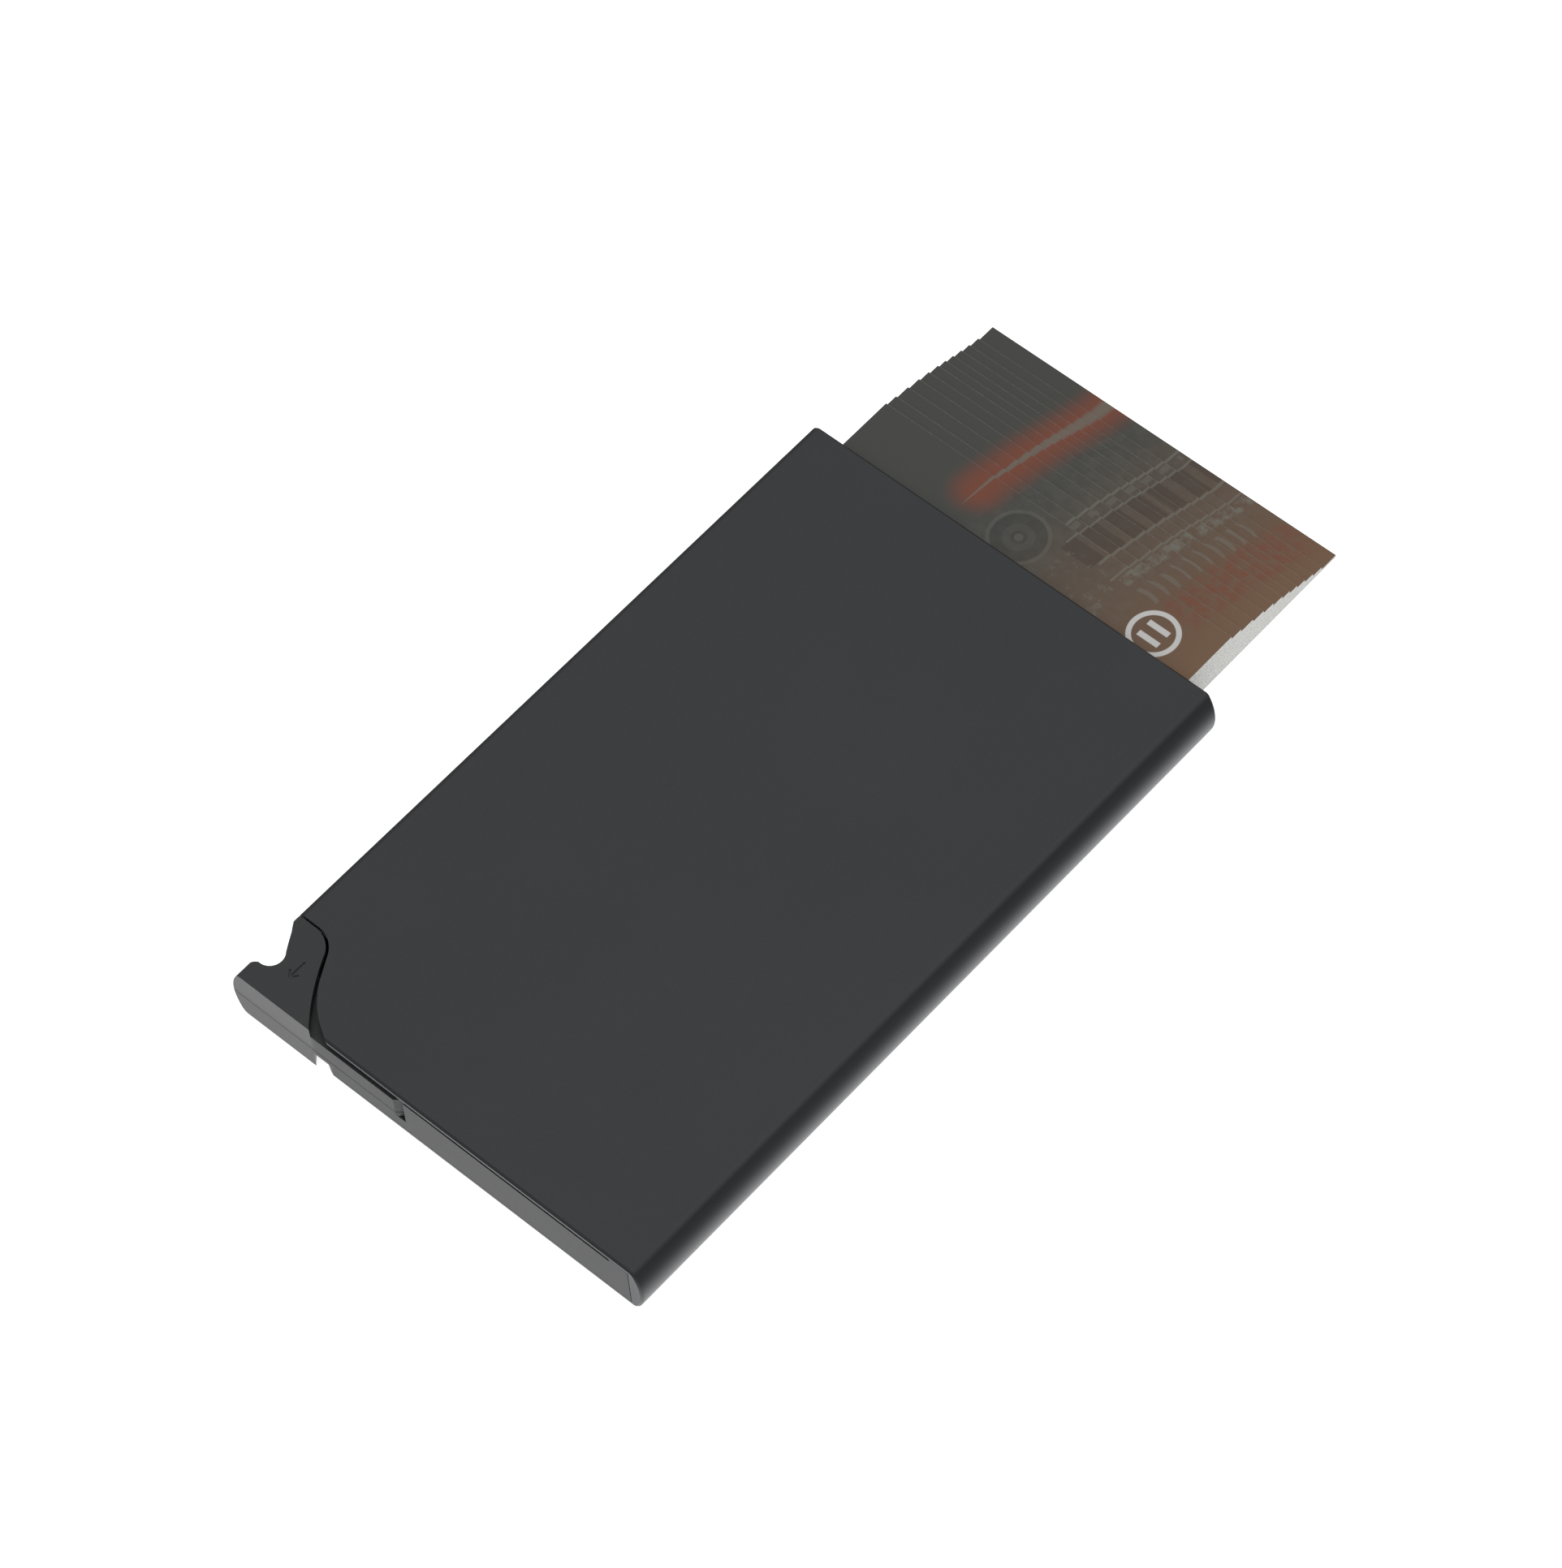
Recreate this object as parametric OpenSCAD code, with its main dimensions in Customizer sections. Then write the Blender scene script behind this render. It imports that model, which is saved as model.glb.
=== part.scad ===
// Slim card wallet: a flat tube that holds a stack of cards. A trigger cut out of one bottom corner
// turns about a pin between the tube's walls, and a stepped arm on the same pin pushes the cards out
// of the mouth in a fan. Drawn with the trigger home and the cards fanned out.
// Millimetres. Origin: centre of the tube's underside. +X width, +Y towards the mouth, +Z up.

/* [Sleeve] */
// Width across the rounded sides
body_w = 63.5; // [62.5:0.5:66]
// Length from the bottom end to the mouth
body_l = 100.8; // [100:0.2:106]
// Thickness
body_t = 8; // [8:0.1:8.4]
// Thickness of the top and bottom walls
wall = 0.8; // [0.7:0.05:0.85]
// How far each side bulges past the flat faces
side_bulge = 1.75; // [1.3:0.05:2]
// Radius of the soft edge between each flat face and the side
edge_r = 1; // [0.7:0.05:1.1]
// Chamfer round both ends
end_chamfer = 0.3; // [0.1:0.05:0.4]

/* [Cards] */
// Card length
card_l = 85.6; // [85:0.1:86]
// Card width
card_w = 54; // [53.5:0.1:54]
// Card thickness
card_t = 0.42; // [0.3:0.01:0.43]
// Height from one card to the next
card_pitch = 0.445; // [0.44:0.001:0.446]
// Underside of the lowest card
stack_z = 1.34; // [1.3:0.01:1.36]
// Gap between the cards' front edges and the mouth when they are all in
tuck = 0.5; // [0.2:0.1:1]

/* [Mechanism] */
// Angle that the trigger and the arm swing through
swing = 46; // [40:1:46]
// Radius of the pivot pin
pin_r = 1.2; // [1:0.05:1.3]
// Running clearance round the pin
pin_gap = 0.05; // [0.03:0.01:0.08]
// Gap between the trigger and the sleeve's cut edge
trigger_gap = 0.3; // [0.2:0.05:0.4]
// How far the trigger stands proud of the bottom end
trigger_proud = 0.2; // [0:0.05:0.3]

/* [Hidden] */
$fn = 96;
CARDS = 12;
function card_name(i) = str("card_", i < 9 ? "0" : "", i + 1);

// Ends of the tube, its flat faces and its card space
end_y = -body_l / 2;
mouth_y = body_l / 2;
flat_x = body_w / 2 - side_bulge;
side_r = (pow(side_bulge, 2) + pow(body_t / 2, 2) - body_t * edge_r) / (2 * (side_bulge - edge_r));
cavity_x = flat_x - 0.15;
floor_z = wall;
roof_z = body_t - wall;
past = 1;

// Fan: how far each card's front edge stands past the mouth, from the top card to the bottom one
fan = [8.5, 10.3, 12.5, 14.5, 16.3, 18, 19.4, 20.8, 22.3, 23.8, 25.5, 28.2];
function card_z(i) = stack_z + (CARDS - 1 - i) * card_pitch;
function card_rear(i) = mouth_y + fan[i] - card_l;
shut_rear = mouth_y - tuck - card_l;

// Pivot, and the heights of what turns on it
pivot = [-13, end_y + 8.7];
plate_z = 2.65;
bar_z = 2.85;
bar_top = 6.5;
ear_z = 6.62;
ear_top = 7.08;
base_top = 6.8;
base_depth = 5;
socket_r = 12;
hub_r = 4.6;
bar_r = 11.26;
pocket_r = 3.9;
pocket_z = 3.5;
cap_z = 6.1;

// Soft stop for the arm, let into the front of the base
pad_x = 16;
pad_l = 6;
pad_z = 2;
pad_h = 3.5;
pad_t = 1.2;
pad_sunk = 0.9;

// Arm, in its own frame: pivot at the origin, lying along +X when the cards are in
arm_inner = 12.4;
arm_low = -3.1;
arm_gap = 1.85;
arm_high = shut_rear - arm_gap - pivot[1];
function arm_reach(i) = (card_rear(i) - arm_gap - pivot[1] - arm_high * cos(swing)) / sin(swing);

// Springs
wire_r = 0.2;
coil_r = 3;
coil_pitch = 0.45;
turns = 1.75;
leg_l = 1.4;
WIRE_SIDES = 8;
TURN_STEPS = 42;

// Rails beside the cards, and the thin liners above and below them
rail_x = card_w / 2 + 0.25;
rail_y = end_y + 21.5;
grip_depth = 0.9;
grip_h = 2.6;
grip_start = 9;
grip_end = 4;
grip_proud = 0.12;
inset = 1.2;
liner_t = 0.4;
liner_y = end_y + 46;

// Points along an arc about c
function arc(c, r, a0, a1, n) =
    [for (i = [0:n]) let (a = a0 + (a1 - a0) * i / n) [c[0] + r * cos(a), c[1] + r * sin(a)]];

// Outline of the flat tube, looking along its length: each side is a wide arc between two soft edges
module tube_outline() {
    arc_half_h = side_r * sin(atan2(body_t / 2 - edge_r, side_r - side_bulge));
    translate([-flat_x, 0]) square([2 * flat_x, body_t]);
    for (side = [-1, 1]) {
        intersection() {
            translate([side * (body_w / 2 - side_r), body_t / 2]) circle(r = side_r);
            translate([side * (flat_x + side_bulge / 2) - side_bulge / 2 - 0.01, body_t / 2 - arc_half_h])
                square([side_bulge + 0.02, 2 * arc_half_h]);
        }
        for (z = [edge_r, body_t - edge_r])
            translate([side * flat_x, z]) circle(r = edge_r);
    }
}

// A solid tube between two places along its length
module tube_bar(y0, y1) {
    translate([0, y1, 0]) rotate([90, 0, 0]) linear_extrude(y1 - y0) tube_outline();
}

// Side view of the tube with its end chamfers, across the whole width
module chamfered_ends() {
    c = end_chamfer;
    rotate([90, 0, 90]) linear_extrude(body_w + 2 * past, center = true)
        polygon([[end_y + c, 0], [mouth_y - c, 0], [mouth_y, c], [mouth_y, body_t - c],
                 [mouth_y - c, body_t], [end_y + c, body_t], [end_y, body_t - c], [end_y, c]]);
}

// Plan of the corner that is cut away for the trigger, measured from the bottom end
corner_top = 10.55;
bump = [-27.9, 6.6];
bump_r = corner_top - bump[1];
module corner_cut() {
    translate([0, end_y])
        polygon(concat([[-45, corner_top]],
                       arc(bump, bump_r, 90, 29, 10),
                       arc([-11.5, 12.1], 13.1, 210.6, 247.5, 12),
                       [[-16.4, -past], [-45, -past]]));
}

// Plan of the trigger's corner, which fills the cut with a gap that opens towards the end
module trigger_corner() {
    translate([0, end_y])
        polygon(concat(arc(bump, bump_r - trigger_gap, 90, 25, 10),
                       arc([6.2, 22.6], 34.1, 205.2, 221.7, 10),
                       [[-19.1, -trigger_proud], [-45, -trigger_proud], [-45, corner_top - trigger_gap]]));
}

// Plan of the finger notch in the trigger's outer side
module finger_notch() {
    translate([0, end_y]) {
        translate([-29.7, 4.5]) circle(r = 1.78);
        polygon([[-28.42, 5.73], [-29.13, 6.93], [-29.82, 8.14], [-30.6, 9.2], [-31.5, 9.8], [-36, 9.9],
                 [-36, 0.9], [-31.85, 1.3], [-31.5, 2.03], [-30.65, 2.22], [-29.9, 2.75], [-29.7, 4.5]]);
    }
}

module sleeve() {
    color("#3d3e42")
        difference() {
            intersection() {
                tube_bar(end_y, mouth_y);
                chamfered_ends();
            }
            translate([-cavity_x, end_y - past, floor_z])
                cube([2 * cavity_x, body_l + 2 * past, roof_z - floor_z]);
            translate([0, 0, -past]) linear_extrude(body_t + 2 * past) corner_cut();
        }
}

// End block: closes the tube, carries the pin on a thin plate, and has a round socket for the hub
module base_insert() {
    boss_x = 27;
    block_x = -5;
    plate_l = 13.5;
    color("#5a5b5f")
        difference() {
            union() {
                translate([block_x, end_y, floor_z])
                    cube([cavity_x - block_x, base_depth, base_top - floor_z]);
                translate([boss_x, end_y, floor_z])
                    cube([cavity_x - boss_x, base_depth, roof_z - floor_z]);
                intersection() {
                    translate([pivot[0], pivot[1], floor_z]) cylinder(r = socket_r, h = plate_z - floor_z);
                    translate([-cavity_x, end_y, floor_z])
                        cube([2 * cavity_x, plate_l, plate_z - floor_z]);
                }
            }
            translate([pivot[0], pivot[1], plate_z]) cylinder(r = socket_r, h = body_t);
            translate([pivot[0], pivot[1], floor_z + 0.2]) cylinder(r = pin_r, h = body_t);
            translate([0, 0, -past]) linear_extrude(body_t + 2 * past) corner_cut();
            translate([pad_x, end_y + base_depth - pad_sunk, pad_z]) cube([pad_l, pad_t + past, pad_h]);
        }
}

module arm_stop_pad() {
    color("#222326")
        translate([pad_x, end_y + base_depth - pad_sunk, pad_z]) cube([pad_l, pad_t, pad_h]);
}

module trigger() {
    color("#4a4b4f")
        difference() {
            union() {
                intersection() {
                    tube_bar(end_y - past, mouth_y);
                    linear_extrude(body_t) difference() {
                        trigger_corner();
                        finger_notch();
                    }
                }
                translate([0, end_y, bar_z]) linear_extrude(bar_top - bar_z)
                    polygon(concat([[-24.5, -trigger_proud]],
                                   arc([pivot[0], pivot[1] - end_y], bar_r, -52.2, -25, 6),
                                   [[-8.6, 9.5], [-13, 13.2], [-24.5, 8]]));
                translate([pivot[0], pivot[1], bar_z]) cylinder(r = hub_r, h = bar_top - bar_z);
            }
            translate([pivot[0], pivot[1], 0]) cylinder(r = pin_r + pin_gap, h = body_t);
            translate([pivot[0], pivot[1], pocket_z]) cylinder(r = pocket_r, h = body_t);
            pull_arrow();
        }
}

// Arrow engraved beside the notch, pointing the way the trigger is pulled
module pull_arrow() {
    line_w = 0.28;
    depth = 0.15;
    shaft_l = 2.6;
    barb_l = 1.1;
    translate([-25.7, end_y + 3.5, body_t - depth]) {
        translate([-line_w / 2, 0, 0]) cube([line_w, shaft_l, past]);
        for (side = [-1, 1])
            rotate([0, 0, side * 40]) translate([-line_w / 2, 0, 0]) cube([line_w, barb_l, past]);
    }
}

// Arm that fans the cards: one step for each card, longest at the bottom, on a thin ear
module ejector_arm() {
    tip = arm_reach(CARDS - 1);
    step_gap = (card_pitch - card_t) / 2;
    tip_low = 1.6;
    ear_r = 4.4;
    lap = 1.6;
    color("#8d8f94")
        translate([pivot[0], pivot[1], 0]) rotate([0, 0, swing])
            difference() {
                union() {
                    for (i = [0:CARDS - 1])
                        translate([0, 0, card_z(i) - step_gap]) linear_extrude(card_pitch)
                            intersection() {
                                polygon([[arm_inner, arm_low], [tip, tip_low], [tip, arm_high],
                                         [arm_inner, arm_high]]);
                                translate([0, arm_low]) square([arm_reach(i), arm_high - arm_low]);
                            }
                    translate([0, 0, ear_z]) linear_extrude(ear_top - ear_z) {
                        circle(r = ear_r);
                        translate([0, arm_low]) square([arm_inner + lap, arm_high - arm_low]);
                    }
                }
                translate([0, 0, -past]) cylinder(r = pin_r + pin_gap, h = body_t + 2 * past);
            }
}

module pivot_pin() {
    color("#b9bbbf")
        translate([pivot[0], pivot[1], floor_z + 0.2]) cylinder(r = pin_r, h = roof_z - floor_z - 0.3);
}

module spring_cap() {
    color("#2b2c2f")
        translate([pivot[0], pivot[1], cap_z])
            difference() {
                cylinder(r = pocket_r, h = bar_top - cap_z - 0.05);
                translate([0, 0, -past]) cylinder(r = pin_r + 0.1, h = 3);
            }
}

// Cross-section of the wire at a point of the coil, in the plane through the coil's axis at angle a
function wire_ring(c, a) =
    [for (k = [0:WIRE_SIDES - 1]) let (t = 360 * k / WIRE_SIDES)
        c + wire_r * [cos(t) * cos(a), cos(t) * sin(a), sin(t)]];

// Close-wound wire with a straight leg at each end, lying in the hub's pocket
module torsion_spring(z, turn) {
    last = 360 * turns;
    rings = concat(
        [wire_ring([coil_r, -leg_l, 0], 0)],
        [for (i = [0:TURN_STEPS]) let (a = last * i / TURN_STEPS)
            wire_ring([coil_r * cos(a), coil_r * sin(a), coil_pitch * a / 360], a)],
        [wire_ring([coil_r * cos(last) - leg_l * sin(last), coil_r * sin(last) + leg_l * cos(last),
                    coil_pitch * turns], last)]);
    ends = len(rings) - 1;
    color("#a8aaad")
        translate([pivot[0], pivot[1], z + wire_r]) rotate([0, 0, turn])
            polyhedron(
                points = [for (r = rings) each r],
                faces = concat(
                    [[for (k = [WIRE_SIDES - 1:-1:0]) k]],
                    [[for (k = [0:WIRE_SIDES - 1]) ends * WIRE_SIDES + k]],
                    [for (i = [0:ends - 1], k = [0:WIRE_SIDES - 1])
                        let (n = (k + 1) % WIRE_SIDES, r0 = i * WIRE_SIDES, r1 = r0 + WIRE_SIDES)
                            [r0 + k, r0 + n, r1 + n, r1 + k]]));
}

module return_spring() {
    torsion_spring(pocket_z + 0.05, 20);
}

module drive_spring() {
    torsion_spring(pocket_z + 1.35, 110);
}

// Rail that fills the tube beside the cards, with a groove for its grip strip
module side_rail(side) {
    color("#2f3033")
        difference() {
            translate([min(side * rail_x, side * cavity_x), rail_y, floor_z])
                cube([cavity_x - rail_x, mouth_y - inset - rail_y, roof_z - floor_z]);
            grip_space(side);
        }
}

module grip_space(side) {
    x0 = side * (rail_x - grip_proud);
    x1 = side * (rail_x + grip_depth);
    translate([min(x0, x1), rail_y + grip_start, body_t / 2 - grip_h / 2])
        cube([abs(x1 - x0), mouth_y - inset - rail_y - grip_start - grip_end, grip_h]);
}

module grip_strip(side) {
    color("#1d1d1f") grip_space(side);
}

module side_rail_left() { side_rail(-1); }
module side_rail_right() { side_rail(1); }
module grip_strip_left() { grip_strip(-1); }
module grip_strip_right() { grip_strip(1); }

// Thin felt sheet bonded inside one wall
module liner(z) {
    color("#26272a")
        translate([-card_w / 2, liner_y, z]) cube([card_w, mouth_y - inset - liner_y, liner_t]);
}

module liner_top() { liner(roof_z - liner_t); }
module liner_bottom() { liner(floor_z); }

module card(i) {
    color(i == 0 ? "#4b453f" : "#d6d5d0")
        translate([-card_w / 2, card_rear(i), card_z(i)]) cube([card_w, card_l, card_t]);
}

sleeve();
base_insert();
trigger();
ejector_arm();
pivot_pin();
spring_cap();
return_spring();
drive_spring();
side_rail_left();
side_rail_right();
grip_strip_left();
grip_strip_right();
liner_top();
liner_bottom();
arm_stop_pad();
for (i = [0:CARDS - 1])
    card(i);
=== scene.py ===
import math

import bmesh
import bpy
from mathutils import Matrix, Vector


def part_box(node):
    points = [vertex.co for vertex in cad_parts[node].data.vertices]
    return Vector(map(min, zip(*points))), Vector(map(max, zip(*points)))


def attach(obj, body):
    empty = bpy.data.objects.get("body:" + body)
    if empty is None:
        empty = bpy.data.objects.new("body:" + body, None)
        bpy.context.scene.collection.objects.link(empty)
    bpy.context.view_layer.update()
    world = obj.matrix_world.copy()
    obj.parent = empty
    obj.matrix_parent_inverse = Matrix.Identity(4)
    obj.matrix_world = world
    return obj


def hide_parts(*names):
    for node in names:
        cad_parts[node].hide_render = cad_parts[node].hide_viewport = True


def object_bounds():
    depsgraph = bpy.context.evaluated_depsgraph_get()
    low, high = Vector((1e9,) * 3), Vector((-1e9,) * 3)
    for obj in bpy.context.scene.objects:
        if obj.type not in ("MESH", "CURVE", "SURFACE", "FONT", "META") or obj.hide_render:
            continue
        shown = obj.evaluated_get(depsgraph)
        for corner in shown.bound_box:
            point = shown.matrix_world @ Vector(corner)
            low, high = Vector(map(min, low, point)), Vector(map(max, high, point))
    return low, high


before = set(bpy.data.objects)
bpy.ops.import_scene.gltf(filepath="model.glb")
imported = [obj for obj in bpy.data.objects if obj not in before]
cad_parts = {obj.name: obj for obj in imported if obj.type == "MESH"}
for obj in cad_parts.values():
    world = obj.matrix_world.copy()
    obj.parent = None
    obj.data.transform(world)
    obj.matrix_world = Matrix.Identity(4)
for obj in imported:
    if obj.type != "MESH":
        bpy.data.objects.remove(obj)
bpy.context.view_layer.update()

MM = 0.001


# ---------------------------------------------------------------- camera
# A long lens well above the wallet, off its bottom right corner, turned a few degrees about the line of
# sight.

camera = bpy.data.objects.new("camera", bpy.data.cameras.new("camera"))
bpy.context.scene.collection.objects.link(camera)
bpy.context.scene.camera = camera
camera.data.sensor_fit = "HORIZONTAL"
camera.data.sensor_width = 36
camera.data.lens = 149.6
camera.data.clip_start = 0.05
camera.data.clip_end = 20
camera.location = Vector((298.07, -278.60, 639.77)) * MM
aim = Vector((-1.58, 10.70, 4.0)) * MM
roll = math.radians(5.41)
line_of_sight = (aim - camera.location).to_track_quat("-Z", "Y")
camera.rotation_mode = "QUATERNION"
camera.rotation_quaternion = line_of_sight @ Matrix.Rotation(-roll, 3, "Z").to_quaternion()


# ---------------------------------------------------------------- sleeve
# The body of the wallet: a length of flat extruded aluminium tube with rounded sides, sawn off, milled to an
# S at the corner that takes the trigger, chamfered at both ends, bead-blasted and anodised charcoal.

sleeve_low, sleeve_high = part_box("sleeve")
thickness = sleeve_high.z
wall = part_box("liner_bottom")[0].z
cavity_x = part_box("side_rail_right")[1].x
bottom_y = sleeve_low.y
mouth_y = sleeve_high.y
side_bulge = 1.75 * MM
edge_r = 1.0 * MM
end_chamfer = 0.3 * MM
flat_x = sleeve_high.x - side_bulge
side_r = (side_bulge ** 2 + (thickness / 2) ** 2 - thickness * edge_r) / (2 * (side_bulge - edge_r))


def link_mesh(name, bm):
    """A new object from a bmesh."""
    bmesh.ops.recalc_face_normals(bm, faces=bm.faces)
    mesh = bpy.data.meshes.new(name)
    bm.to_mesh(mesh)
    bm.free()
    piece = bpy.data.objects.new(name, mesh)
    bpy.context.scene.collection.objects.link(piece)
    return piece


def loft(name, loops):
    """A closed solid through loops that all have the same number of points."""
    bm = bmesh.new()
    rings = [[bm.verts.new(p) for p in loop] for loop in loops]
    for a, b in zip(rings, rings[1:]):
        for k in range(len(a)):
            bm.faces.new((a[k - 1], a[k], b[k], b[k - 1]))
    bm.faces.new(rings[0])
    bm.faces.new(rings[-1])
    return link_mesh(name, bm)


def prism(name, outline, z0, z1):
    """A solid with that plan, between two heights."""
    return loft(name, [[(x, y, z) for x, y in outline] for z in (z0, z1)])


def block(name, low, high):
    """A solid box between two corners."""
    outline = [(low[0], low[1]), (high[0], low[1]), (high[0], high[1]), (low[0], high[1])]
    return prism(name, outline, low[2], high[2])


def arc(centre, radius, start, end, steps):
    """Points along an arc, in degrees."""
    angles = [math.radians(start + (end - start) * i / steps) for i in range(steps + 1)]
    return [(centre[0] + radius * math.cos(a), centre[1] + radius * math.sin(a)) for a in angles]


def disc(name, centre, radius, z0, z1, steps=96):
    """A round solid between two heights."""
    return prism(name, arc(centre, radius, 0, 360 - 360 / steps, steps - 1), z0, z1)


def from_corner(points):
    """Plan points in millimetres from the middle of the bottom end, as metres in the frame."""
    return [(x * MM, bottom_y + y * MM) for x, y in points]


def combine(piece, other, operation):
    """Boolean of two pieces. The other one is used up."""
    modifier = piece.modifiers.new(operation.lower(), "BOOLEAN")
    modifier.operation = operation
    modifier.solver = "EXACT"
    modifier.object = other
    evaluated = piece.evaluated_get(bpy.context.evaluated_depsgraph_get())
    mesh = bpy.data.meshes.new_from_object(evaluated)
    piece.modifiers.clear()
    piece.data = mesh
    bpy.data.objects.remove(other)
    return piece


def soften(piece, width, angle=25, segments=2):
    """Breaks the sharp edges with a small round, and shades the rest smooth."""
    bm = bmesh.new()
    bm.from_mesh(piece.data)
    bmesh.ops.remove_doubles(bm, verts=bm.verts, dist=0.004 * MM)
    bmesh.ops.dissolve_limit(bm, angle_limit=math.radians(0.5), verts=bm.verts, edges=bm.edges)
    bm.to_mesh(piece.data)
    bm.free()
    bevel = piece.modifiers.new("edge_break", "BEVEL")
    bevel.width = width
    bevel.segments = segments
    bevel.limit_method = "ANGLE"
    bevel.angle_limit = math.radians(angle)
    bevel.use_clamp_overlap = True
    piece.data.shade_smooth()
    piece.data.set_sharp_from_angle(angle=math.radians(angle))
    flatten = piece.modifiers.new("flat_faces", "WEIGHTED_NORMAL")
    flatten.weight = 100
    return piece


def tube_loop(y, inset=0.0):
    """Outline of the flat tube at one place along its length, drawn in by inset all round."""
    middle = thickness / 2
    half = math.degrees(math.atan2(middle - edge_r, side_r - side_bulge))
    right = arc((flat_x, edge_r), edge_r - inset, -90, -half, 10)
    right += arc((sleeve_high.x - side_r, middle), side_r - inset, -half, half, 24)[1:]
    right += arc((flat_x, thickness - edge_r), edge_r - inset, half, 90, 10)[1:]
    return [(x, y, z) for x, z in right] + [(-x, y, z) for x, z in reversed(right)]


# The S of the corner: flat on top, round at the bump, then hollow down to the bottom end.
bump = (-27.9, 6.6)
bump_r = 3.95
corner_plan = from_corner(
    [(-45, bump[1] + bump_r)]
    + arc(bump, bump_r, 90, 29, 16)
    + arc((-11.5, 12.1), 13.1, 210.6, 247.5, 20)
    + [(-16.4, -5), (-45, -5)]
)

sleeve = loft("sleeve_tube", [
    tube_loop(bottom_y, end_chamfer),
    tube_loop(bottom_y + end_chamfer),
    tube_loop(mouth_y - end_chamfer),
    tube_loop(mouth_y, end_chamfer),
])
bore = block("bore", (-cavity_x, bottom_y - MM, wall), (cavity_x, mouth_y + MM, thickness - wall))
combine(sleeve, bore, "DIFFERENCE")
combine(sleeve, prism("corner", corner_plan, -MM, thickness + MM), "DIFFERENCE")
soften(sleeve, 0.07 * MM)


def linear(hex_colour):
    """sRGB hex to linear RGBA."""
    channels = [int(hex_colour[i:i + 2], 16) / 255 for i in (1, 3, 5)]
    return [c / 12.92 if c <= 0.04045 else ((c + 0.055) / 1.055) ** 2.4 for c in channels] + [1.0]


def add(material, kind, settings=None, links=None):
    """Adds a node with its properties and input values. A value that is itself a node is linked by its first
    output, and links are for the other outputs."""
    node = material.node_tree.nodes.new(kind)
    joined = dict(links or {})
    for key, value in (settings or {}).items():
        if isinstance(value, bpy.types.Node):
            joined[key] = (value, 0)
        elif isinstance(key, str) and hasattr(node, key):
            setattr(node, key, value)
        else:
            node.inputs[key].default_value = value
    for key, (source, output) in joined.items():
        material.node_tree.links.new(source.outputs[output], node.inputs[key])
    return node


def finish_material(name, surface):
    """A new material whose look is made by surface(material), which returns its shader node."""
    material = bpy.data.materials.new(name)
    material.use_nodes = True
    material.node_tree.nodes.clear()
    shader = surface(material)
    add(material, "ShaderNodeOutputMaterial", links={"Surface": (shader, "BSDF")})
    return material


def per_metre(size_mm):
    """Texture scale that gives features of about that size."""
    return 1 / (size_mm * MM)


def grained(material, light, dark, grain_mm, settings, bump_height_mm, rough):
    """A surface whose colour, roughness and height vary with a fine grain and a broad, faint cloud."""
    place = add(material, "ShaderNodeTexCoord")
    grain = add(material, "ShaderNodeTexNoise",
                {"Scale": per_metre(grain_mm), "Detail": 3.0, "Roughness": 0.6},
                {"Vector": (place, "Object")})
    cloud_mm = grain_mm * 90
    cloud = add(material, "ShaderNodeTexNoise", {"Scale": per_metre(cloud_mm), "Detail": 2.0},
                {"Vector": (place, "Object")})
    both = add(material, "ShaderNodeMix", {"data_type": "FLOAT", 0: 0.35, 2: grain, 3: cloud})
    colour = add(material, "ShaderNodeMix",
                 {"data_type": "RGBA", 0: both, 6: linear(dark), 7: linear(light)})
    roughness = add(material, "ShaderNodeMapRange",
                    {"To Min": rough - 0.05, "To Max": rough + 0.05, "Value": both})
    height = add(material, "ShaderNodeBump",
                 {"Strength": 0.5, "Distance": bump_height_mm * MM, "Height": grain})
    return add(material, "ShaderNodeBsdfPrincipled", {**settings, "Roughness": roughness, "Normal": height},
               {"Base Color": (colour, 2)})


def anodised_aluminium(material):
    """Bead-blasted and dyed charcoal: the blast gives a soft, even sheen with a grain finer than a tenth of a
    millimetre, drawn here a little coarser so that it shows."""
    return grained(material, "#58595b", "#4b4c4e", 0.22, {"Metallic": 1.0}, 0.008, 0.42)


charcoal = finish_material("anodised_aluminium", anodised_aluminium)
sleeve.data.materials.append(charcoal)
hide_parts("sleeve")
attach(sleeve, "case")


# ---------------------------------------------------------------- trigger
# The corner that is pulled to fan the cards: glass-filled nylon, moulded in two halves of a tool that meet a
# little below mid-height. A bar runs from it between the walls to a hub on the pivot pin.

trigger_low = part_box("trigger")[0]
pin_low, pin_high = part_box("pivot_pin")
pivot = ((pin_low.x + pin_high.x) / 2, (pin_low.y + pin_high.y) / 2)
cap_low, cap_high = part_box("spring_cap")
pin_r = (pin_high.x - pin_low.x) / 2
pocket_r = (cap_high.x - cap_low.x) / 2
pin_play = 0.05 * MM
hub_r = 4.6 * MM
pocket_floor = 3.5 * MM
parting_z = 3.75 * MM
bar_low = 2.85 * MM
bar_high = cap_high.z + 0.05 * MM
bar_r = 11.26
arrow_depth = 0.15 * MM
arrow_half = 0.14
proud = (trigger_low.y - bottom_y) / MM

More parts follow.
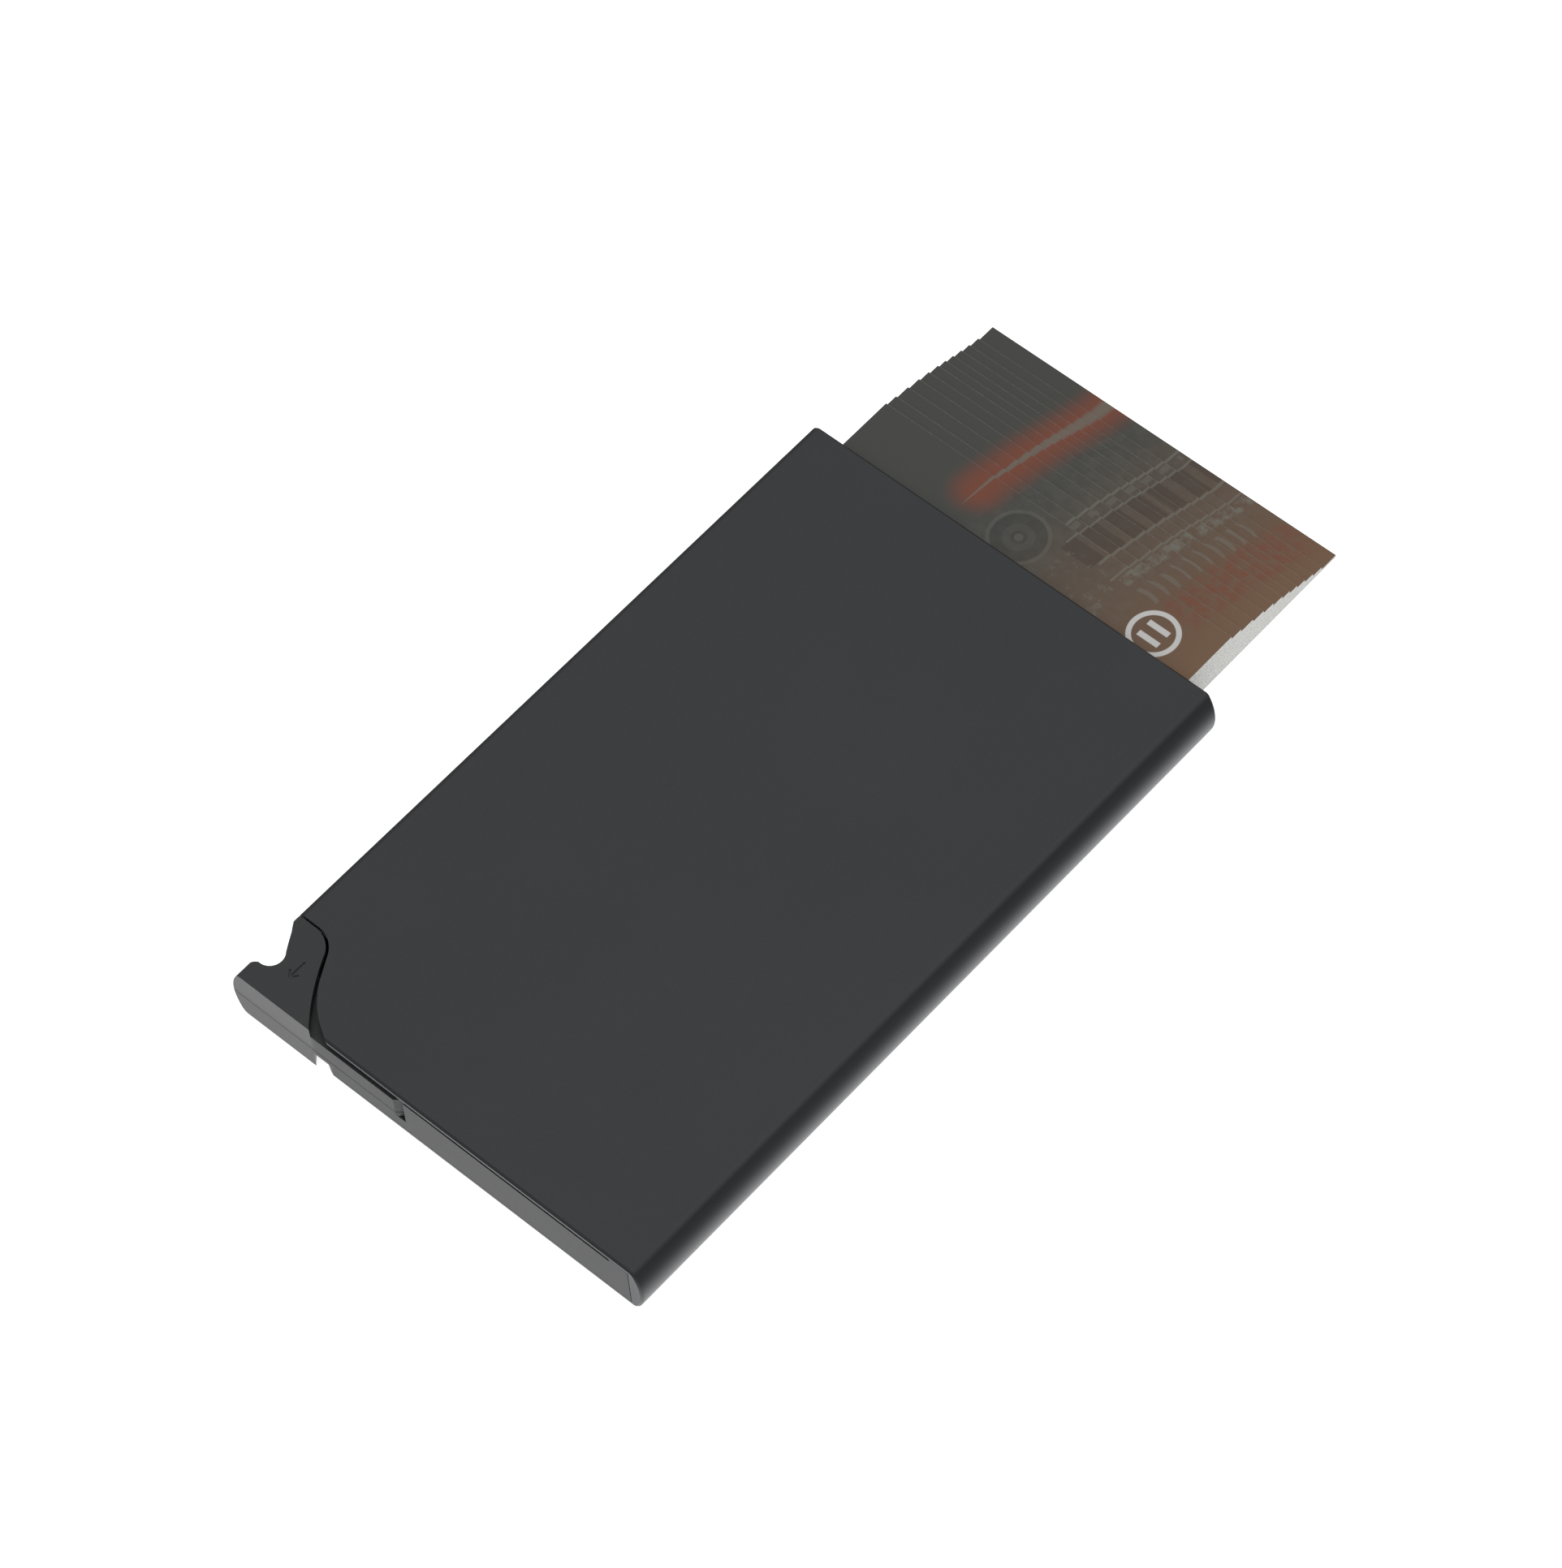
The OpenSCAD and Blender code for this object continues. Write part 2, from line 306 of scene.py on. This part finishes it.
trigger_plan = from_corner(
    arc((bump[0] - 0.12, bump[1]), bump_r - 0.26, 90, 25, 16)
    + arc((6.2, 22.6), 34.1, 205.2, 221.7, 16)
    + [(-19.1, proud), (-45, proud), (-45, bump[1] + bump_r - 0.3)]
)
notch_plan = from_corner(
    [(-36, 0.9)]
    + arc((-30.9, 1.3), 0.95, 180, 80, 10)
    + arc((-29.7, 4.5), 1.78, -97, 43, 18)
    + [(-29.13, 6.93), (-29.82, 8.14), (-30.6, 9.2), (-31.0, 9.6), (-31.5, 9.8), (-36, 9.9)]
)
trigger = loft("trigger_lever", [tube_loop(trigger_low.y - MM), tube_loop(trigger_low.y + 14 * MM)])
combine(trigger, prism("plan", trigger_plan, -MM, thickness + MM), "INTERSECT")
combine(trigger, prism("notch", notch_plan, -MM, thickness + MM), "DIFFERENCE")
bar_plan = from_corner(
    [(-23.5, proud)] + arc((-13, 8.7), bar_r, -52.2, -25, 16) + [(-8.6, 9.5), (-13, 13.2), (-23.5, 8.4)]
)
combine(trigger, prism("bar", bar_plan, bar_low, bar_high), "UNION")
combine(trigger, disc("hub", pivot, hub_r, bar_low, bar_high), "UNION")
combine(trigger, disc("pocket", pivot, pocket_r, pocket_floor, thickness), "DIFFERENCE")
combine(trigger, disc("pin_hole", pivot, pin_r + pin_play, 0, thickness), "DIFFERENCE")

# The engraved arrow: a shaft and two barbs.
arrow_tip = from_corner([(-25.7, 3.5)])[0]
for angle, length in ((0, 2.6), (40, 1.1), (-40, 1.1)):
    turn = Matrix.Rotation(math.radians(angle), 2)
    corners = [(-arrow_half, 0), (arrow_half, 0), (arrow_half, length), (-arrow_half, length)]
    stroke = [Vector(arrow_tip) + turn @ Vector(c) * MM for c in corners]
    combine(trigger, prism("stroke", stroke, thickness - arrow_depth, thickness + MM), "DIFFERENCE")
soften(trigger, 0.09 * MM)


def moulded_nylon(material):
    """Black glass-filled nylon from a spark-eroded tool: matt, with a fine even pitting."""
    return grained(material, "#3f4042", "#343537", 0.25, {"IOR": 1.52}, 0.008, 0.5)


def split_moulding(material):
    """The same nylon, with the dark line where the halves of the tool met. The corner piece is smoother than
    its bar, and the upper half a little more so, so its end face shines more."""
    shader = moulded_nylon(material)
    colour, roughness = (shader.inputs[name].links[0].from_node for name in ("Base Color", "Roughness"))
    place = add(material, "ShaderNodeTexCoord")
    split = add(material, "ShaderNodeSeparateXYZ", links={"Vector": (place, "Object")})
    line = add(material, "ShaderNodeMath", {"operation": "COMPARE", 1: parting_z, 2: 0.07 * MM},
               {0: (split, "Z")})
    inked = add(material, "ShaderNodeMix", {"data_type": "RGBA", 0: line, 7: linear("#141415")},
                {6: (colour, 2)})
    polish = add(material, "ShaderNodeMapRange",
                 {"From Min": 3.7 * MM, "From Max": 5.2 * MM, "To Min": -0.06, "To Max": -0.085},
                 {"Value": (split, "Z")})
    corner = add(material, "ShaderNodeMapRange",
                 {"From Min": -19.2 * MM, "From Max": -18.6 * MM, "To Min": 1.0, "To Max": 0.0},
                 {"Value": (split, "X")})
    smooth = add(material, "ShaderNodeMath", {"operation": "MULTIPLY", 0: polish, 1: corner})
    in_line = add(material, "ShaderNodeMath", {"operation": "MULTIPLY_ADD", 0: line, 1: 0.4, 2: smooth})
    total = add(material, "ShaderNodeMath", {"operation": "ADD", 0: in_line, 1: roughness})
    material.node_tree.links.new(inked.outputs[2], shader.inputs["Base Color"])
    material.node_tree.links.new(total.outputs[0], shader.inputs["Roughness"])
    return shader


nylon = finish_material("moulded_nylon", moulded_nylon)
trigger.data.materials.append(finish_material("split_moulded_nylon", split_moulding))
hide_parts("trigger")
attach(trigger, "trigger")


# ---------------------------------------------------------------- base insert
# The block that closes the bottom end: moulded in the same nylon, bonded into the tube. Its thin lower plate
# carries the pivot pin, and a round socket leaves room for the hub to turn.

base_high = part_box("base_insert")[1]
socket_r = 12.0 * MM
plate_z = 2.65 * MM
block_x = -5 * MM
block_l = 5 * MM
block_top = 6.8 * MM
boss_x = 27 * MM
pin_seat = 0.2 * MM
joint_line = 0.07 * MM
fitted_x = cavity_x - joint_line
base = block("base_block", (block_x, bottom_y, wall), (fitted_x, bottom_y + block_l, block_top))
boss = block("boss", (boss_x, bottom_y, wall), (fitted_x, bottom_y + block_l, thickness - wall))
combine(base, boss, "UNION")
plate = disc("plate", pivot, socket_r, wall, plate_z)
plate_trim = block("plate_trim", (-cavity_x, bottom_y, 0), (cavity_x, base_high.y, thickness))
combine(plate, plate_trim, "INTERSECT")
combine(base, disc("socket", pivot, socket_r, plate_z, thickness), "DIFFERENCE")
combine(base, plate, "UNION")
combine(base, prism("corner", corner_plan, -MM, thickness + MM), "DIFFERENCE")
combine(base, disc("pin_hole", pivot, pin_r, wall + pin_seat, thickness), "DIFFERENCE")
pad_low, pad_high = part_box("arm_stop_pad")
combine(base, block("pad_seat", pad_low, pad_high + Vector((0, MM, 0))), "DIFFERENCE")
soften(base, 0.06 * MM)
base.data.materials.append(nylon)
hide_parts("base_insert")
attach(base, "case")


# ---------------------------------------------------------------- cards
# Twelve plastic cards: a white PVC core between two clear laminates, punched out with square corners. One
# print runs over all of their fronts, so that the fan shows it as a whole. They lie loose in the sleeve.


def within(material, value, low, high, soft):
    """1 where the value is between low and high, fading to 0 over soft outside them."""
    from_middle = add(material, "ShaderNodeMath", {"operation": "SUBTRACT", 0: value, 1: (low + high) / 2})
    off = add(material, "ShaderNodeMath", {"operation": "ABSOLUTE", 0: from_middle})
    half = (high - low) / 2
    return add(material, "ShaderNodeMapRange",
               {"interpolation_type": "SMOOTHSTEP", "From Min": half, "From Max": half + soft,
                "To Min": 1.0, "To Max": 0.0, "Value": off})


def overlap(material, one, other):
    """Only where both masks are, or a mask made fainter by a number."""
    return add(material, "ShaderNodeMath", {"operation": "MULTIPLY", 0: one, 1: other})


def patch(material, x, y, box, soft=0.25):
    """A rectangle of the print: x from, x to, y from, y to, in millimetres."""
    return overlap(material, within(material, x, box[0], box[1], soft),
                   within(material, y, box[2], box[3], soft))


def printed_over(material, ground, hex_colour, mask, strength):
    """Another ink over what is printed already."""
    return add(material, "ShaderNodeMix",
               {"data_type": "RGBA", 0: overlap(material, mask, strength), 7: linear(hex_colour)},
               {6: (ground, 2)})


def distance(material, across, along):
    """How far a place is from where both are 0."""
    square = add(material, "ShaderNodeMath", {"operation": "MULTIPLY", 0: across, 1: across})
    total = add(material, "ShaderNodeMath", {"operation": "MULTIPLY_ADD", 0: along, 1: along, 2: square})
    return add(material, "ShaderNodeMath", {"operation": "SQRT", 0: total})


def ring(material, x, y, centre, radius, width):
    """A circle line of the print."""
    across = add(material, "ShaderNodeMath", {"operation": "SUBTRACT", 0: x, 1: centre[0]})
    along = add(material, "ShaderNodeMath", {"operation": "SUBTRACT", 0: y, 1: centre[1]})
    return within(material, distance(material, across, along), radius - width / 2, radius + width / 2, 0.12)


def row(material, x, y, box, pitch, filled):
    """A row of short blocks along the card, one every pitch, that many millimetres long."""
    phase = add(material, "ShaderNodeMath", {"operation": "WRAP", 0: y, 1: pitch, 2: 0})
    return overlap(material, patch(material, x, y, box), within(material, phase, 0.2, filled, 0.2))


def laminated(material, colour, output):
    """Print under a satin laminate, with a faint unevenness from the press."""
    place = add(material, "ShaderNodeTexCoord")
    uneven = add(material, "ShaderNodeTexNoise", {"Scale": per_metre(3.0), "Detail": 2.0},
                 {"Vector": (place, "Object")})
    height = add(material, "ShaderNodeBump", {"Strength": 0.3, "Distance": 0.01 * MM},
                 {"Height": (uneven, "Fac")})
    return add(material, "ShaderNodeBsdfPrincipled", {"Roughness": 0.42, "IOR": 1.46},
               {"Base Color": (colour, output), "Normal": (height, "Normal")})


def printed_front(material):
    """Offset print: grey-green fading to brown, a soft red glow round a pale streak, then rows of faint lines
    and blocks, and a plain white ring with two bars by the mouth."""
    place = add(material, "ShaderNodeTexCoord")
    split = add(material, "ShaderNodeSeparateXYZ", links={"Vector": (place, "Object")})
    along = add(material, "ShaderNodeMath", {"operation": "MULTIPLY", 1: 1 / MM}, {0: (split, "Y")})
    straight = add(material, "ShaderNodeMath", {"operation": "MULTIPLY", 1: 1 / MM}, {0: (split, "X")})
    from_mouth = add(material, "ShaderNodeMath", {"operation": "SUBTRACT", 0: along, 1: 54})
    x = add(material, "ShaderNodeMath", {"operation": "MULTIPLY_ADD", 0: from_mouth, 1: -0.07, 2: straight})
    mottle = add(material, "ShaderNodeTexNoise",
                 {"Scale": per_metre(1.4), "Detail": 3.0, "Roughness": 0.7}, {"Vector": (place, "Object")})
    blotch = add(material, "ShaderNodeMapRange", {"From Min": 0.4, "From Max": 0.62, "Value": mottle})
    shade = add(material, "ShaderNodeMapRange", {"From Min": -4.0, "From Max": 27.0, "Value": straight})
    ground = add(material, "ShaderNodeMix",
                 {"data_type": "RGBA", 0: shade, 6: linear("#53544f"), 7: linear("#8e6d52")})

    # The glow has a round lower end, and the streak in it comes to a point there.
    faint = overlap(material, patch(material, x, along, (-6, 14, 51, 84), 3.0), blotch)
    to_tip = add(material, "ShaderNodeMath", {"operation": "SUBTRACT", 0: 56.3, 1: along})
    below_tip = add(material, "ShaderNodeMath", {"operation": "MAXIMUM", 0: to_tip, 1: 0})
    beside = add(material, "ShaderNodeMath", {"operation": "ADD", 0: x, 1: 10.1})
    glow = within(material, distance(material, beside, below_tip), -0.8, 0.8, 4.0)
    from_point = add(material, "ShaderNodeMath", {"operation": "SUBTRACT", 0: along, 1: 52})
    streak_half = add(material, "ShaderNodeMath", {"operation": "MULTIPLY", 0: from_point, 1: 0.035})
    streak_place = add(material, "ShaderNodeMath", {"operation": "DIVIDE", 0: beside, 1: streak_half})
    streak = overlap(material, within(material, streak_place, -0.5, 0.5, 0.9),
                     within(material, along, 54.5, 90, 2.0))
    inks = [("#85857b", faint, 0.13), ("#9a5238", glow, 0.8), ("#84857a", streak, 0.72)]

    dial = (-1.7, 53.9)
    for radius, width, ink, strength in ((1.7, 3.4, "#3a3b37", 0.35), (3.8, 0.35, "#8a8a80", 0.22),
                                         (1.5, 0.9, "#8a8a80", 0.12), (0.25, 0.5, "#8a8a80", 0.3)):
        inks.append((ink, ring(material, straight, along, dial, radius, width), strength))
    for box in ((0.8, 1.05, 59, 82), (2.9, 3.1, 57, 80), (7.9, 8.15, 57, 82), (10.6, 10.8, 56, 82)):
        inks.append(("#8f9086", patch(material, x, along, box, 0.12), 0.5))
    inks.append(("#4b3b33", row(material, x, along, (3.2, 7.6, 56, 79), 3.7, 2.6), 0.45))
    inks.append(("#8f9086", row(material, x, along, (1.5, 2.1, 58, 78), 3.1, 1.4), 0.28))
    band = overlap(material, patch(material, x, along, (11.5, 12.5, 57, 82), 0.5), blotch)
    inks.append(("#8f9186", band, 0.7))
    from_bow = add(material, "ShaderNodeMath", {"operation": "SUBTRACT", 0: x, 1: 15.4})
    bow = add(material, "ShaderNodeMath", {"operation": "MULTIPLY", 0: from_bow, 1: from_bow})
    curved = add(material, "ShaderNodeMath", {"operation": "MULTIPLY_ADD", 0: bow, 1: 0.12, 2: along})
    inks.append(("#8f8c80", row(material, x, curved, (14.0, 16.8, 57, 76), 1.9, 0.6), 0.45))
    warm = overlap(material, patch(material, x, along, (18.5, 21.5, 58, 77), 2.5), blotch)
    inks.append(("#95513a", warm, 0.65))
    specks = add(material, "ShaderNodeMath", {"operation": "GREATER_THAN", 0: mottle, 1: 0.6})
    small = overlap(material, patch(material, x, along, (4.5, 13, 50, 56), 1.0), specks)
    inks.append(("#8f8c80", small, 0.3))

    emblem = ring(material, straight, along, (19.6, 53.4), 3.0, 0.55)
    for low, high in ((54.0, 54.7), (52.1, 52.8)):
        bar = patch(material, straight, along, (18.1, 21.1, low, high), 0.1)
        emblem = add(material, "ShaderNodeMath", {"operation": "MAXIMUM", 0: emblem, 1: bar})
    inks.append(("#f2f1ee", emblem, 1.0))
    for ink, mask, strength in inks:
        ground = printed_over(material, ground, ink, mask, strength)
    return laminated(material, ground, 2)


def printed_back(material):
    """The back: pale grey, with a black magnetic stripe along one long side and a white signature panel."""
    place = add(material, "ShaderNodeTexCoord")
    split = add(material, "ShaderNodeSeparateXYZ", links={"Vector": (place, "Generated")})
    across = add(material, "ShaderNodeMath", {"operation": "MULTIPLY", 1: 54}, {0: (split, "X")})
    along = add(material, "ShaderNodeMath", {"operation": "MULTIPLY", 1: 85.6}, {0: (split, "Y")})
    grain = add(material, "ShaderNodeTexNoise", {"Scale": per_metre(0.6), "Detail": 2.0},
                {"Vector": (place, "Object")})
    ground = add(material, "ShaderNodeMix", {"data_type": "RGBA", 6: linear("#b9bab6"), 7: linear("#c8c8c3")},
                 {0: (grain, "Fac")})
    for ink, box in (("#1b1a19", (4.3, 17, -5, 95)), ("#efeee9", (24, 34, 8, 60))):
        ground = printed_over(material, ground, ink, patch(material, across, along, box, 0.05), 1.0)
    return laminated(material, ground, 2)


def pvc_core(material):
    """The cut edge of a card: white PVC, slightly rough and streaked from the punch."""
    return grained(material, "#f1f1ef", "#bcbbb7", 0.3, {"IOR": 1.5}, 0.004, 0.5)


def lip_core_and_glint(material):
    """The broken edge of the laminate: print and white core show by turns, so it looks dotted. Its light is
    partly a painted highlight, the glint that runs along each card edge.
    """
    return grained(material, "#f4f3ee", "#45453f", 0.25, {"IOR": 1.5}, 0.004, 0.5)


card_core = finish_material("white_pvc", pvc_core)
card_lip_glint = finish_material("lip_core_and_glint", lip_core_and_glint)
card_front = finish_material("printed_laminate", printed_front)
card_back = finish_material("printed_back", printed_back)

for number in range(1, 13):
    node = f"card_{number:02d}"
    card = block(f"{node}_body", *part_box(node))
    soften(card, 0.035 * MM, segments=1)
    # The broken edges take the lip material: the white core, with a painted highlight dotted along them.
    card.modifiers["edge_break"].material = 3
    for material in (card_core, card_front, card_back, card_lip_glint):
        card.data.materials.append(material)
    for face in card.data.polygons:
        if abs(face.normal.z) > 0.9:
            face.material_index = 1 if face.normal.z > 0 else 2
    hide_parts(node)
    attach(card, node)


# ---------------------------------------------------------------- arm, pin and springs
# Steel parts inside: the stepped arm is milled and brushed, the pin is ground, and the two springs are of
# drawn wire.


def steel(material, rough, lines_mm):
    """Bare steel with fine lines along the part, which draw its highlights out."""
    place = add(material, "ShaderNodeTexCoord")
    stretch = add(material, "ShaderNodeMapping", {"Scale": (1.0, 0.06, 1.0)}, {"Vector": (place, "Object")})
    brushed = add(material, "ShaderNodeTexNoise", {"Scale": per_metre(lines_mm), "Detail": 4.0},
                  {"Vector": (stretch, "Vector")})
    colour = add(material, "ShaderNodeMix", {"data_type": "RGBA", 6: linear("#a3a6aa"), 7: linear("#c6c8cb")},
                 {0: (brushed, "Fac")})
    roughness = add(material, "ShaderNodeMapRange", {"To Min": rough - 0.06, "To Max": rough + 0.06},
                    {"Value": (brushed, "Fac")})
    height = add(material, "ShaderNodeBump", {"Strength": 0.4, "Distance": 0.004 * MM},
                 {"Height": (brushed, "Fac")})
    return add(material, "ShaderNodeBsdfPrincipled", {"Metallic": 1.0},
               {"Base Color": (colour, 2), "Roughness": (roughness, "Result"), "Normal": (height, "Normal")})


def dress(node, material, edge_mm=0.0):
    """Gives a CAD node its material, and breaks its sharp edges."""
    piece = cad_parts[node]
    piece.data.materials.clear()
    piece.data.materials.append(material)
    if edge_mm:
        bevel = piece.modifiers.new("edge_break", "BEVEL")
        bevel.width = edge_mm * MM
        bevel.segments = 2
        bevel.limit_method = "ANGLE"
        bevel.angle_limit = math.radians(50)


dress("ejector_arm", finish_material("milled_steel", lambda m: steel(m, 0.36, 0.25)), 0.04)
dress("pivot_pin", finish_material("ground_steel", lambda m: steel(m, 0.22, 0.12)), 0.12)
spring_wire = finish_material("drawn_wire", lambda m: steel(m, 0.3, 0.05))
dress("return_spring", spring_wire)
dress("drive_spring", spring_wire)


# ---------------------------------------------------------------- rails, grips, pad, cap and liners
# Moulded acetal rails beside the cards carry soft rubber strips. The arm stops against a rubber pad, a nylon
# cap closes the spring pocket, and thin felt lines the walls above and below the cards.


def acetal(material):
    """Black acetal: smoother and a little glossier than the nylon."""
    return grained(material, "#232325", "#1d1d1f", 0.5, {"IOR": 1.48}, 0.003, 0.36)


def rubber(material):
    """Black thermoplastic rubber: matt, with a fine bloom."""
    return grained(material, "#1f1f20", "#161617", 0.15, {"IOR": 1.5}, 0.01, 0.72)


def felt(material):
    """Pressed black felt: short fibres lying every way, so it takes no highlight."""
    place = add(material, "ShaderNodeTexCoord")
    fibres = add(material, "ShaderNodeTexNoise", {"Scale": per_metre(0.12), "Detail": 4.0, "Distortion": 2.0},
                 {"Vector": (place, "Object")})
    colour = add(material, "ShaderNodeMix", {"data_type": "RGBA", 6: linear("#19191b"), 7: linear("#323235")},
                 {0: (fibres, "Fac")})
    height = add(material, "ShaderNodeBump", {"Strength": 0.8, "Distance": 0.05 * MM},
                 {"Height": (fibres, "Fac")})
    return add(material, "ShaderNodeBsdfPrincipled", {"Roughness": 0.95, "IOR": 1.4, "Sheen Weight": 0.2},
               {"Base Color": (colour, 2), "Normal": (height, "Normal")})


rail_acetal = finish_material("acetal", acetal)
soft_rubber = finish_material("soft_rubber", rubber)
black_felt = finish_material("black_felt", felt)
dress("side_rail_left", rail_acetal, 0.12)
dress("side_rail_right", rail_acetal, 0.12)
dress("spring_cap", nylon, 0.05)
dress("grip_strip_left", soft_rubber, 0.06)
dress("grip_strip_right", soft_rubber, 0.06)
dress("arm_stop_pad", soft_rubber, 0.08)
dress("liner_top", black_felt)
dress("liner_bottom", black_felt)


# ---------------------------------------------------------------- floor and light
# A light table: white acrylic that glows a little, so the wallet throws hardly any shadow. The room round it
# is dim at eye level and brighter overhead. What the wallet reflects below the horizon is the table's glow.

floor_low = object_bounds()[0].z
floor = prism("floor", [(-3, -3), (3, -3), (3, 3), (-3, 3)], floor_low - 0.02, floor_low)


def white_acrylic(material):
    """Opal acrylic lit from behind: even, matt and white."""
    return grained(material, "#ffffff", "#fafafa", 2.0,
                   {"IOR": 1.4, "Emission Color": linear("#ffffff"), "Emission Strength": 0.85}, 0.001, 0.8)


floor.data.materials.append(finish_material("opal_acrylic", white_acrylic))
floor.visible_glossy = False

world = bpy.data.worlds.new("studio")
bpy.context.scene.world = world
world.use_nodes = True
world.node_tree.nodes.clear()
sky_place = add(world, "ShaderNodeTexCoord")
sky_split = add(world, "ShaderNodeSeparateXYZ", links={"Vector": (sky_place, "Generated")})
sky_height = add(world, "ShaderNodeMapRange", {"From Min": -1.0, "From Max": 1.0},
                 {"Value": (sky_split, "Z")})
sky_fade = add(world, "ShaderNodeValToRGB", links={"Fac": (sky_height, "Result")})
ramp = sky_fade.color_ramp
ramp.elements[0].position = 0.0
ramp.elements[1].position = 1.0
levels = ((0.0, 0.8), (0.09, 0.78), (0.2, 0.15), (0.35, 0.14), (0.5, 0.14), (0.7, 0.2), (0.92, 0.32),
          (1.0, 0.34))
for position, _ in levels[1:-1]:
    ramp.elements.new(position)
for stop, (_, level) in zip(ramp.elements, levels):
    stop.color = (level, level, level, 1)
sky = add(world, "ShaderNodeBackground", {"Strength": 2.0}, {"Color": (sky_fade, "Color")})
add(world, "ShaderNodeOutputWorld", links={"Surface": (sky, "Background")})

bpy.context.scene.view_settings.view_transform = "Standard"
